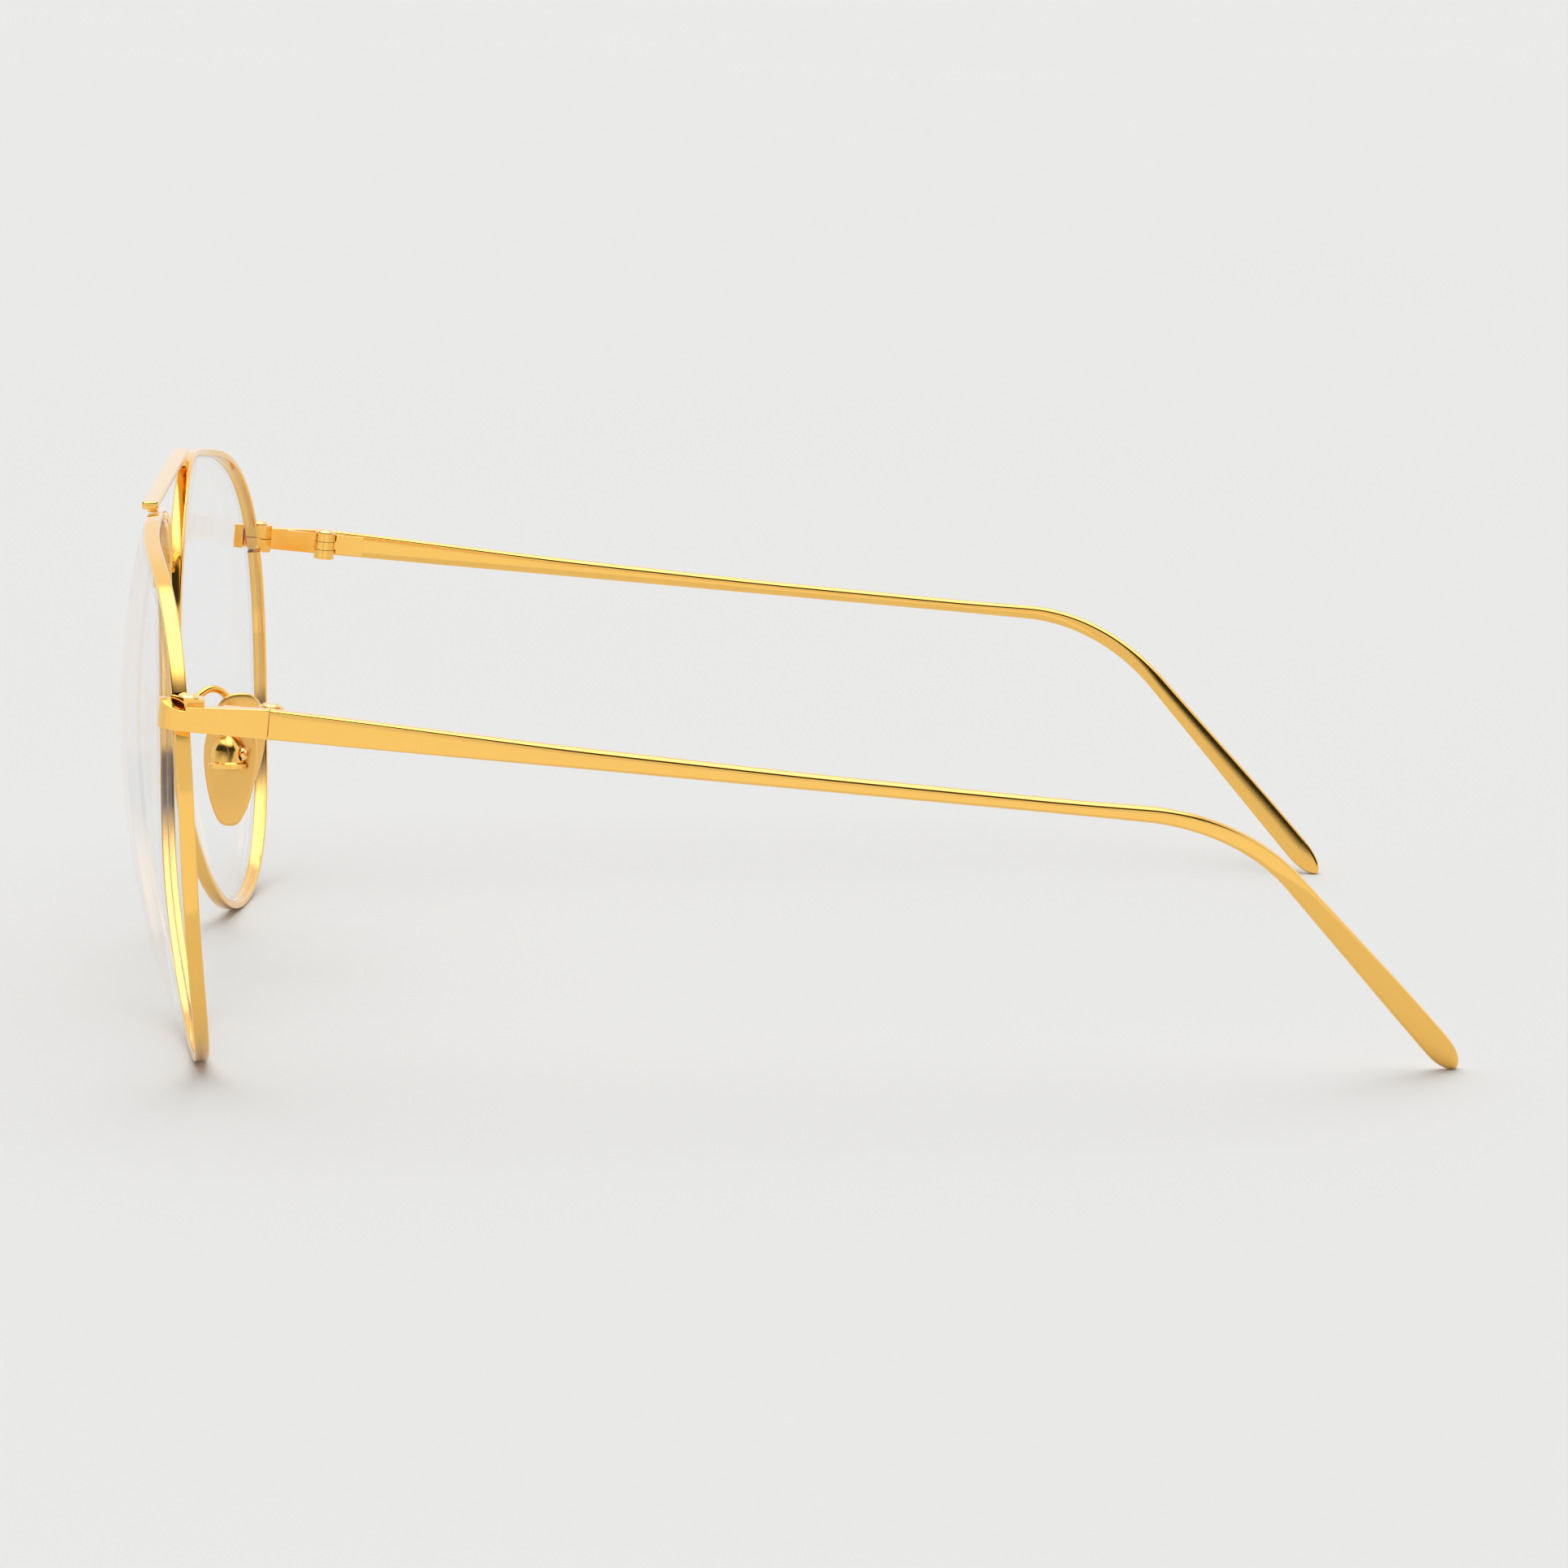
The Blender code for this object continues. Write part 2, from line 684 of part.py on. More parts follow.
PAD_PIVOT = (9.9, -64.55, 29.0)
PAD_SPLAY = math.radians(12)
PAD_FLARE = math.radians(9)
PAD_LENGTH = 13.2
PAD_WIDTH = 6.3
PAD_MIDDLE = (0.0, -2.0)
PAD_BLUNTNESS = (0.68, 0.13)
PAD_BACK = -1.35
PAD_THICK = 1.3
# The dome, from its face to its back: share of the outline and of the thickness.
PAD_DOME = ((0.72, 1.0), (0.92, 0.8), (1.0, 0.4), (0.97, 0.0))
EAR_HALF_WIDTH = 0.55
BOX_SLOT = 0.65


def pad_outline(count=28):
    """A blunt egg: wider at the top than at the bottom."""
    points = []
    for angle in np.linspace(0, math.tau, count, endpoint=False):
        up = PAD_LENGTH / 2 * math.sin(angle)
        power = PAD_BLUNTNESS[0] + PAD_BLUNTNESS[1] * math.sin(angle)
        across = math.copysign(abs(math.cos(angle)) ** power, math.cos(angle))
        points.append((PAD_WIDTH / 2 * across * (1 + 0.25 * math.sin(angle)), up))
    return points


def add_nose_pad(name, side, parent):
    """A domed metal pad, with an ear behind it that the box's screw goes through."""
    sections = []
    for share, deep in PAD_DOME:
        depth = -deep * PAD_THICK
        ring = []
        for across, up in pad_outline():
            ring.append(
                (PAD_BACK + depth, PAD_MIDDLE[0] + share * across, PAD_MIDDLE[1] + share * up)
            )
        sections.append(ring)
    pad = loft(name, sections, side, PAD_GOLD, parent)
    ear = box(
        name + "_ear", (PAD_BACK - 0.3, -EAR_HALF_WIDTH, -0.8), (0, EAR_HALF_WIDTH, 0.8),
        side, None, parent, CUTTERS,
    )
    eye = cylinder(name + "_eye", 0.9, -EAR_HALF_WIDTH, EAR_HALF_WIDTH, "Y", None, parent, CUTTERS)
    bore = cylinder(name + "_bore", 0.45, -3, 3, "Y", None, parent, CUTTERS, steps=16)
    boolean(pad, "UNION", ear)
    boolean(pad, "UNION", eye)
    boolean(pad, "DIFFERENCE", bore)
    return pad


# The box, from its skirt to its top: height, near and far face, half width.
BOX_RINGS = (
    (-1.75, -0.75, 1.85, 2.1), (-1.2, -0.75, 1.9, 2.2), (-1.0, -0.75, 1.65, 1.85),
    (0.3, -0.75, 1.6, 1.8), (1.0, -0.72, 1.4, 1.55), (1.6, -0.6, 1.1, 1.15),
    (2.0, -0.45, 0.75, 0.75), (2.15, -0.35, 0.5, 0.5),
)
BOX_BLUNTNESS = 0.6


def add_pad_box(name, side, parent):
    """A polished bell on a skirt, with a slot that the pad's ear rocks in."""
    sections = []
    for height, near, far, half in BOX_RINGS:
        ring = []
        for angle in np.linspace(-math.pi / 2, math.pi / 2, 11):
            out = abs(math.cos(angle)) ** BOX_BLUNTNESS
            across = math.copysign(abs(math.sin(angle)) ** BOX_BLUNTNESS, angle)
            ring.append((near + (far - near) * out, half * across, height))
        sections.append(ring)
    body = loft(name, sections, side, GOLD, parent)
    slot = box(
        name + "_slot", (-2, -BOX_SLOT, -3), (1.0, BOX_SLOT, 1.15), side, None, parent, CUTTERS
    )
    bore = cylinder(name + "_bore", 0.42, -3, 3, "Y", None, parent, CUTTERS, steps=16)
    boolean(body, "DIFFERENCE", slot)
    boolean(body, "DIFFERENCE", bore)
    return body


# The arm's centre line: from behind the rim, up and over in a loop, and down onto the box.
ARM_RADIUS = 0.45
ARM_POINTS = (
    (7.25, -70.47, 31.2), (7.55, -69.75, 32.0), (8.3, -68.6, 33.1), (9.05, -67.6, 33.5),
    (9.75, -66.6, 33.2), (10.1, -65.8, 32.4), (10.0, -65.0, 31.3),
)


def add_side(word, side):
    hinge = (side * HINGE_X, HINGE_Y, HINGE_Z)
    front = pivot(word + "_hinge", hinge, (-TEMPLE_SLOPE, 0, 0))
    swing = pivot(word + "_temple_pivot", hinge, (-TEMPLE_SLOPE, 0, 0))
    x, y, z = PAD_PIVOT
    rocker = pivot(word + "_pad_pivot", (side * x, y, z), (0, -side * PAD_FLARE, -side * PAD_SPLAY))
    add_rim("rim_" + word, side)
    add_lens("lens_" + word, side)
    add_endpiece("endpiece_" + word, side, front)
    add_closing_block(
        "closing_block_upper_" + word, side, front, BLOCK_SPLIT, BLOCK_HALF_HEIGHT,
        CLOSING_SHANK + CLEARANCE,
    )
    add_closing_block(
        "closing_block_lower_" + word, side, front, -BLOCK_HALF_HEIGHT, -BLOCK_SPLIT,
        CLOSING_SHANK + THREAD_CLEARANCE,
    )
    screw_x, screw_y = closing_screw_place()
    add_screw(
        "closing_screw_" + word, side, front, (screw_x, screw_y, BLOCK_HALF_HEIGHT + HEAD_GAP), "Z",
        CLOSING_SHANK, 3.3, CLOSING_HEAD, 0.45,
    )
    add_front_hinge("hinge_front_" + word, side, front)
    add_rear_hinge("hinge_rear_" + word, side, swing)
    add_screw(
        "hinge_screw_" + word, side, front, (0, 0, BARREL_TOP + HEAD_GAP), "Z",
        PIN_RADIUS, 3.3, HINGE_HEAD, 0.4,
    )
    add_temple("temple_" + word, side, swing)
    wire("pad_arm_" + word, smooth_path(ARM_POINTS, 3), side, ARM_RADIUS, GOLD)
    add_pad_box("pad_box_" + word, side, rocker)
    add_nose_pad("nose_pad_" + word, side, rocker)
    add_screw("pad_screw_" + word, side, rocker, (0, 1.9, 0), "Y", 0.4, 3.4, 0.8, 0.6)


add_brow_bar()
add_lower_bridge()
add_side("left", 1)
add_side("right", -1)
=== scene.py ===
"""Gold metal eyeglasses with full rims, a double bridge and slim temples, standing on a pale floor.

Shapes are worked out in millimetres and turned into metres as each mesh is made. +X is the
wearer's left, the front looks towards -Y and the temples run towards +Y. Each side is made
once for the left and again with x turned round for the right.
"""

import json
import math

import bmesh
import bpy
import numpy as np
from mathutils import Euler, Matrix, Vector, noise

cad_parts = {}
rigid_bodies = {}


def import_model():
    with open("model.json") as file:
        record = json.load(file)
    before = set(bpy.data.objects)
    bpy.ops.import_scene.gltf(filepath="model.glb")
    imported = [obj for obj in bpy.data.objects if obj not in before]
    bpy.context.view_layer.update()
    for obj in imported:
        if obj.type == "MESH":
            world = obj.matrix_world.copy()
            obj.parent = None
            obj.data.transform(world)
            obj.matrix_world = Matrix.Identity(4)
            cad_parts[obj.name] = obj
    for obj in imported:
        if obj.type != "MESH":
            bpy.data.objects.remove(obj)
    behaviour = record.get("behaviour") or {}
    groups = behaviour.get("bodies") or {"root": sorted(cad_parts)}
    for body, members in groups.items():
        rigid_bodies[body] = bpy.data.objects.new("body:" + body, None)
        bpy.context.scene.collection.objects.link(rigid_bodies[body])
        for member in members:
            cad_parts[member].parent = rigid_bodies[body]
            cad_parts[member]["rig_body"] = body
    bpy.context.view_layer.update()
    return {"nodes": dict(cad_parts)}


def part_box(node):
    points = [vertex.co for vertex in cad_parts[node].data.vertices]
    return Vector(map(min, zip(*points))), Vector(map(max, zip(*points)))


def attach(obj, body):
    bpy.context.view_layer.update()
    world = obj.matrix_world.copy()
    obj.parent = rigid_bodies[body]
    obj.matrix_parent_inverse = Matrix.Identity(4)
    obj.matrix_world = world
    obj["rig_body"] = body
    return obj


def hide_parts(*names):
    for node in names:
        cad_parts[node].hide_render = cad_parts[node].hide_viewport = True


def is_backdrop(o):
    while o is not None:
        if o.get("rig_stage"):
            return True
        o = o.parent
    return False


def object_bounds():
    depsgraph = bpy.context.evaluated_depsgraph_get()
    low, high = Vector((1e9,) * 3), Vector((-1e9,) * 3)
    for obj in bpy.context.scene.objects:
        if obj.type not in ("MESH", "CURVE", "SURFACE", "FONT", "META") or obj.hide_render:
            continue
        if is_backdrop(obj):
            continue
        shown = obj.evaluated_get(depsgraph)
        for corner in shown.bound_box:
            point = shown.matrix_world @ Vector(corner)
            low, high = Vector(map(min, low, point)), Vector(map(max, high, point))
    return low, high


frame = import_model()

MM = 0.001
SIDES = (("left", 1), ("right", -1))


# ---------------------------------------------------------------------------------------------
# Gold plating. Every metal piece is nickel-silver or bronze, polished and plated with a thin
# layer of yellow gold. Polishing leaves faint hairlines, and the plating's tone drifts a little.


class Signal:
    """A value that varies over a surface; arithmetic on it adds Math nodes."""

    def __init__(self, finish, socket):
        self.finish = finish
        self.socket = socket

    def maths(self, operation, *values):
        return self.finish.node("Math", {"operation": operation}, dict(enumerate(values)))

    def __add__(self, other):
        return self.maths("ADD", self, other)

    def __sub__(self, other):
        return self.maths("SUBTRACT", self, other)

    def __rsub__(self, other):
        return self.maths("SUBTRACT", other, self)

    def __mul__(self, other):
        return self.maths("MULTIPLY", self, other)

    def __pow__(self, power):
        return self.maths("POWER", self, power)

    __radd__ = __add__
    __rmul__ = __mul__


class Finish:
    """A surface finish, or the studio's light, under construction as a node tree."""

    def __init__(self, owner):
        self.owner = owner
        self.owner.use_nodes = True
        self.tree = self.owner.node_tree
        self.tree.nodes.clear()

    def node(self, kind, settings=None, values=None, output=0):
        """Adds a node, sets it up, feeds its sockets and returns one of its outputs."""
        made = self.tree.nodes.new("ShaderNode" + kind)
        for key, value in (settings or {}).items():
            if key == "stops":
                while len(made.color_ramp.elements) < len(value):
                    made.color_ramp.elements.new(0.5)
                for element, (place, shade) in zip(made.color_ramp.elements, value):
                    element.position = place
                    element.color = (shade, shade, shade, 1)
            else:
                setattr(made, key, value)
        for key, value in (values or {}).items():
            if isinstance(value, Signal):
                self.tree.links.new(value.socket, made.inputs[key])
            else:
                made.inputs[key].default_value = value
        return Signal(self, made.outputs[output])

    def mix(self, factor, first, second):
        """A colour between two others."""
        return self.node("Mix", {"data_type": "RGBA"}, {0: factor, 6: first, 7: second}, 2)

    def grain(self, scale, stretch=(1, 1, 1), detail=2.0):
        """Noise on the piece's own coordinates, stretched along its grain."""
        place = self.node("TexCoord", output="Object")
        place = self.node("Mapping", values={"Vector": place, "Scale": stretch})
        return self.node(
            "TexNoise", values={"Vector": place, "Scale": scale, "Detail": detail}
        )

    def close(self, shader, kind="OutputMaterial"):
        surface = self.tree.nodes.new("ShaderNode" + kind).inputs["Surface"]
        self.tree.links.new(shader.socket, surface)
        return self.owner


def new_finish(name):
    return Finish(bpy.data.materials.new(name))


def gold_plating(name, bright, deep, roughness, stretch=(1, 1, 1), relief=0.05):
    """Polished or satin plating: tone drift, hairlines along the grain, and a fine ripple."""
    finish = new_finish(name)
    drift = finish.grain(90, detail=3.0)
    hairlines = finish.grain(5200, stretch, 4.0)
    ripple = finish.grain(700, stretch)
    lines = finish.node(
        "ValToRGB", {"stops": ((0.55, 0.0), (0.72, 1.0))}, {"Fac": hairlines}
    )
    tone = finish.mix(drift, (*deep, 1), (*bright, 1))
    normal = finish.node(
        "Bump",
        values={"Height": hairlines * 0.3 + ripple, "Strength": relief, "Distance": 0.02 * MM},
    )
    shader = finish.node(
        "BsdfPrincipled",
        values={
            "Base Color": tone,
            "Metallic": 1.0,
            "Roughness": roughness + 0.06 * lines + 0.05 * drift,
            "Coat Weight": 0.5,
            "Coat Roughness": 0.03,
            "Normal": normal,
        },
    )
    return finish.close(shader)


BRIGHT_GOLD = (1.0, 0.60, 0.14)
DEEP_GOLD = (0.98, 0.56, 0.115)
RIM_GOLD = gold_plating("polished_gold_rims", BRIGHT_GOLD, DEEP_GOLD, 0.07)
FITTING_GOLD = gold_plating("polished_gold_fittings", BRIGHT_GOLD, DEEP_GOLD, 0.10)
TEMPLE_GOLD = gold_plating(
    "polished_gold_temples", BRIGHT_GOLD, DEEP_GOLD, 0.04, (1, 0.06, 1)
)


# ---------------------------------------------------------------------------------------------
# The rims. Each is a drawn strip, deeper than it is thick, grooved inside and bent to the lens;
# its two ends meet at the closing block on the temporal side. The edges are eased by tumbling.

LENS_RADII = (30.5, 32.3, 30.8, 29.4, 33.2, 33.4, 29.7, 26.2, 26.8, 28.8, 30.0, 29.7)
LENS_CENTRE = np.array([37.0, -73.2, 29.48])
LENS_BASE_RADIUS = 95.5
LENS_WRAP = math.tan(math.radians(6.1))
LENS_LEAN = math.tan(math.radians(3.7))
RIM_THICKNESS = 0.9
RIM_DEPTH = 1.7
RIM_EASE = 0.2
LOCK_ANGLE = math.radians(26.7)
LOCK_HALF_GAP = 2.0
RIM_STEPS = 320


def unit(vector):
    return vector / np.linalg.norm(vector)


REARWARD = unit(np.array([-LENS_WRAP, 1.0, LENS_LEAN]))
RADIUS_WAVES = np.fft.rfft(LENS_RADII) / len(LENS_RADII)


def lens_radius(angle):
    """The smooth closed curve through the lens radii."""
    last = len(RADIUS_WAVES) - 1
    waves = [
        (1 if number in (0, last) else 2) * (wave * np.exp(1j * number * angle)).real
        for number, wave in enumerate(RADIUS_WAVES)
    ]
    return sum(waves)


def on_lens(across, up):
    """A point of the left lens surface, from the lens centre outwards and upwards."""
    back = (across**2 + up**2) / (2 * LENS_BASE_RADIUS) + LENS_WRAP * across - LENS_LEAN * up
    return LENS_CENTRE + (across, back, up)


def rim_centre(angle):
    radius = lens_radius(angle)
    return on_lens(radius * math.cos(angle), radius * math.sin(angle))


def rim_point(angle, out, back):
    """A point beside the rim's centre line: outwards in the lens plane, and backwards."""
    along = unit(rim_centre(angle + 0.002) - rim_centre(angle - 0.002))
    outward = unit(np.cross(along, -REARWARD))
    return rim_centre(angle) + out * outward + back * REARWARD


def eased_rectangle(half_width, half_height, ease, steps=5):
    """A rectangle with round corners, as (across, up) points."""
    points = []
    for corner, (x, y) in enumerate(((1, 1), (-1, 1), (-1, -1), (1, -1))):
        for turn in np.linspace(corner, corner + 1, steps + 1) * math.pi / 2:
            points.append(
                (
                    x * (half_width - ease) + ease * math.cos(turn),
                    y * (half_height - ease) + ease * math.sin(turn),
                )
            )
    return points


def skin(name, rings, side, material, body, smooth=50):
    """A closed solid through rings of points in millimetres, riding on a body."""
    bm = bmesh.new()
    made = [[bm.verts.new((side * x * MM, y * MM, z * MM)) for x, y, z in ring] for ring in rings]
    for first, second in zip(made, made[1:]):
        for i in range(len(first)):
            j = (i + 1) % len(first)
            bm.faces.new((first[i], first[j], second[j], second[i]))
    for ring in (made[0], made[-1]):
        bm.faces.new(ring)
    return place_mesh(name, bm, material, body, smooth)


def place_mesh(name, bm, material, body, smooth=50):
    bmesh.ops.recalc_face_normals(bm, faces=bm.faces)
    mesh = bpy.data.meshes.new(name)
    bm.to_mesh(mesh)
    bm.free()
    mesh.materials.append(material)
    mesh.shade_smooth()
    mesh.set_sharp_from_angle(angle=math.radians(smooth))
    piece = bpy.data.objects.new(name, mesh)
    bpy.context.scene.collection.objects.link(piece)
    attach(piece, body)
    return piece


for word, side in SIDES:
    gap = LOCK_HALF_GAP / lens_radius(LOCK_ANGLE)
    angles = np.linspace(LOCK_ANGLE + gap, LOCK_ANGLE - gap + math.tau, RIM_STEPS)
    section = eased_rectangle(RIM_THICKNESS / 2, RIM_DEPTH / 2, RIM_EASE, 4)
    rings = [[rim_point(angle, *corner) for corner in section] for angle in angles]
    strip = skin("rim_strip_" + word, rings, side, RIM_GOLD, "front")
    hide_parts("rim_" + word)


# ---------------------------------------------------------------------------------------------
# The lenses. Clear moulded plastic, a little under 2 mm thick, curved like a shallow bowl. The
# edge is ground with a bevel that sits in the rim's groove, and ground plastic looks greyer.

LENS_FRONT = -1.25
LENS_BACK = 0.55
LENS_EDGE_INSET = 0.5
LENS_EASE = 0.12
LENS_SHARES = np.sin(np.linspace(0.06, 1.0, 18) * math.pi / 2)


def clear_plastic(name):
    """Clear on the face, mirror-like at a glance, with a faint haze of wiping marks."""
    finish = new_finish(name)
    glance = finish.node("LayerWeight", values={"Blend": 0.5}, output="Facing")
    wiping = finish.grain(160, (1, 1, 0.3), 3.0)
    clear = finish.node("BsdfTransparent", values={"Color": (0.99, 0.992, 0.992, 1)})
    sheen = finish.node(
        "BsdfPrincipled",
        values={
            "Base Color": (0.98, 0.98, 1.0, 1),
            "Metallic": 1.0,
            "Roughness": 0.02 + 0.05 * wiping,
        },
    )
    share = 0.025 + 0.14 * glance**5
    return finish.close(finish.node("MixShader", values={0: share, 1: clear, 2: sheen}))


def ground_edge(name):
    """The ground bevel: pale grey and satin, letting a little light through."""
    finish = new_finish(name)
    grit = finish.grain(2600, detail=4.0)
    tone = finish.mix(grit, (0.72, 0.73, 0.74, 1), (0.88, 0.88, 0.88, 1))
    clear = finish.node("BsdfTransparent", values={"Color": (0.95, 0.95, 0.95, 1)})
    satin = finish.node(
        "BsdfPrincipled",
        values={"Base Color": tone, "Roughness": 0.25 + 0.2 * grit},
    )
    return finish.close(finish.node("MixShader", values={0: 0.07 + 0.08 * grit, 1: clear, 2: satin}))


LENS_CLEAR = clear_plastic("clear_lens_plastic")
LENS_EDGE = ground_edge("ground_lens_edge")


def lens_rings():
    angles = np.linspace(0, math.tau, 240, endpoint=False)
    edge = [rim_point(angle, -LENS_EDGE_INSET, 0) - LENS_CENTRE for angle in angles]

    def face(share, depth):
        ring = []
        for x, _, z in edge:
            ring.append(on_lens(share * x, share * z) + depth * REARWARD)
        return ring

    profile = (
        (0, LENS_FRONT + LENS_EASE), (0, -0.6), (0.26, -0.3), (0, 0), (0, LENS_BACK - LENS_EASE),
    )
    front = [face(share, LENS_FRONT) for share in LENS_SHARES[:-1]]
    front.append([rim_point(angle, -LENS_EDGE_INSET - LENS_EASE, LENS_FRONT) for angle in angles])
    side_rings = [
        [rim_point(angle, out - LENS_EDGE_INSET, back) for angle in angles]
        for out, back in profile
    ]
    back = [[rim_point(angle, -LENS_EDGE_INSET - LENS_EASE, LENS_BACK) for angle in angles]]
    back += [face(share, LENS_BACK) for share in LENS_SHARES[-2::-1]]
    return front, side_rings, back


for word, side in SIDES:
    front, side_rings, back = lens_rings()
    lens = skin(
        "lens_" + word + "_clear", front + side_rings + back, side, LENS_CLEAR, "front",
        30,
    )
    lens.data.materials.append(LENS_EDGE)
    around = len(front[0])
    first, last = (len(front) - 1) * around, (len(front) + len(side_rings)) * around
    for face in lens.data.polygons:
        if first <= face.index < last:
            face.material_index = 1
    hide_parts("lens_" + word)


# ---------------------------------------------------------------------------------------------
# The brow bar. A flat drawn bar, cut square at both ends, that lies across the two rims and is
# brazed to them with a small foot under each end.

BAR_EDGE = 0.22


def brazing(name, place, size, body="front", seed=0):
    """A bead of brazing metal: a low lump whose surface ran a little as it cooled."""
    bm = bmesh.new()
    bmesh.ops.create_icosphere(bm, subdivisions=3, radius=1.0)
    for vert in bm.verts:
        swell = 1 + 0.12 * noise.noise(vert.co * 1.7 + Vector((seed, 0, 0)))
        for axis in range(3):
            vert.co[axis] = (place[axis] + vert.co[axis] * size[axis] * swell) * MM
    return place_mesh(name, bm, FITTING_GOLD, body, 80)


low, high = (np.array(corner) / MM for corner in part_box("brow_bar"))
BAR_THICKNESS = 0.85
middle = (low + high) / 2
bar_section = eased_rectangle((high[1] - low[1]) / 2, BAR_THICKNESS / 2, BAR_EDGE, 4)
bar_z = high[2] - BAR_THICKNESS / 2
BAR_END_EASE = 0.1
rings = []
for x, shrink in (
    (low[0], BAR_END_EASE), (low[0] + BAR_END_EASE, 0.0),
    *((x, 0.0) for x in np.linspace(low[0] + 1, high[0] - 1, 25)),
    (high[0] - BAR_END_EASE, 0.0), (high[0], BAR_END_EASE),
):
    ring = []
    for across, up in bar_section:
        across -= math.copysign(min(shrink, abs(across)), across)
        up -= math.copysign(min(shrink, abs(up)), up)
        ring.append((x, middle[1] + across, bar_z + up))
    rings.append(ring)
bar = skin("brow_bar_polished", rings, 1, FITTING_GOLD, "front", 40)
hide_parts("brow_bar")

FOOT_LENGTH = 3.0
FOOT_DEPTH = 1.1
FOOT_INSET = 0.12
tops = []
for angle in np.linspace(math.radians(140), math.radians(80), 200):
    edges = [rim_point(angle, RIM_THICKNESS / 2, back) for back in (-RIM_DEPTH / 2, RIM_DEPTH / 2)]
    tops.append((edges[1][0], max(edge[2] for edge in edges)))
tops = np.array(tops)
for word, side in SIDES:
    rings = []
    for x in np.linspace(high[0] - FOOT_LENGTH, high[0] - FOOT_INSET, 8):
        bottom = np.interp(x, tops[:, 0], tops[:, 1])
        ring = []
        for across, up in eased_rectangle(FOOT_DEPTH / 2, (bar_z - bottom) / 2, 0.1, 3):
            y = high[1] - FOOT_INSET - FOOT_DEPTH / 2 + across
            ring.append((x, y, (bar_z + bottom) / 2 + up))
        rings.append(ring)
    skin("brow_bar_foot_" + word, rings, side, FITTING_GOLD, "front", 40)


# ---------------------------------------------------------------------------------------------
# The lower bridge. A round wire bent into an arch over the nose; its feet are flattened a little
# against the rims' nasal sides and brazed there.

BRIDGE_HALF_WIDTH = 8.26
BRIDGE_FOOT_Z = 48.6
BRIDGE_RISE = 7.2
BRIDGE_Y = -72.3
BRIDGE_RADIUS = 0.6
BRIDGE_POWER = 0.8


def tube(name, points, radii, side, material, body, around=16):
    """A round wire along points in millimetres, with a radius for each."""
    points = [np.array(point, float) for point in points]
    rings = []
    across = None
    for i, point in enumerate(points):
        ahead = unit(points[min(i + 1, len(points) - 1)] - points[max(i - 1, 0)])
        if across is None:
            across = np.cross(ahead, (0.1, 1.0, 0.2))
        across = unit(across - ahead * np.dot(across, ahead))
        other = np.cross(ahead, across)
        turns = np.linspace(0, math.tau, around, endpoint=False)
        rings.append(
            [point + radii[i] * (math.cos(t) * across + math.sin(t) * other) for t in turns]
        )
    return skin(name, rings, side, material, body, 60)


points = []
for angle in np.linspace(0, math.pi, 97):
    across = math.copysign(abs(math.cos(angle)) ** BRIDGE_POWER, math.cos(angle))
    up = math.sin(angle) ** BRIDGE_POWER
    points.append((BRIDGE_HALF_WIDTH * across, BRIDGE_Y, BRIDGE_FOOT_Z + BRIDGE_RISE * up))
arch = tube(
    "lower_bridge_wire", points, [BRIDGE_RADIUS] * len(points), 1, FITTING_GOLD, "front",
)
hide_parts("lower_bridge")
for word, side in SIDES:
    for number, height in enumerate((0.2, 0.9)):
        brazing(
            "lower_bridge_braze_%s_%d" % (word, number),
            (side * (BRIDGE_HALF_WIDTH + 0.4), BRIDGE_Y + 0.1, BRIDGE_FOOT_Z + height),
            (0.36, 0.4, 0.42), seed=number + 4 * side,
        )


# ---------------------------------------------------------------------------------------------
# Endpieces, closing blocks, hinges, pad boxes and screws. These are milled or stamped parts;
# after soldering they are tumbled, which eases every edge and leaves the faces bright.

SCREW_GOLD = gold_plating("bright_gold_screws", (1.0, 0.74, 0.33), (0.98, 0.62, 0.2), 0.14)
EASING = {
    "endpiece": (0.14, FITTING_GOLD, "polished_gold"),
    "closing_block_upper": (0.12, FITTING_GOLD, "polished_gold"),
    "closing_block_lower": (0.12, FITTING_GOLD, "polished_gold"),
    "hinge_front": (0.06, FITTING_GOLD, "polished_gold"),
    "hinge_rear": (0.06, FITTING_GOLD, "polished_gold"),
    "pad_box": (0.1, FITTING_GOLD, "polished_gold"),
    "closing_screw": (0.03, SCREW_GOLD, "screw_gold"),
    "hinge_screw": (0.03, SCREW_GOLD, "screw_gold"),
    "pad_screw": (0.03, SCREW_GOLD, "screw_gold"),
}
MERGE = 0.002 * MM


def tumbled(node, ease, material):
    """The node's shape with its flat faces made whole and its edges eased."""
    bm = bmesh.new()
    bm.from_mesh(frame["nodes"][node].data)
    bmesh.ops.remove_doubles(bm, verts=bm.verts, dist=MERGE)
    bmesh.ops.dissolve_limit(
        bm, angle_limit=math.radians(1), verts=bm.verts, edges=bm.edges, use_dissolve_boundaries=False
    )
    body = frame["nodes"][node]["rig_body"]
    piece = place_mesh(node + "_tumbled", bm, material, body, 30)
    bevel = piece.modifiers.new("eased edges", "BEVEL")
    bevel.width = ease * MM
    bevel.segments = 3
    bevel.limit_method = "ANGLE"
    bevel.angle_limit = math.radians(35)
    bevel.harden_normals = True
    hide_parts(node)
    return piece


for word, side in SIDES:
    for part, (ease, material, slot) in EASING.items():
        tumbled(part + "_" + word, ease, material)


# ---------------------------------------------------------------------------------------------
# The temples. Each is one swaged bar: high and flat at the hinge, thin along the side of the
# head, then bent down over the ear and spread into a flat tip with a round end.

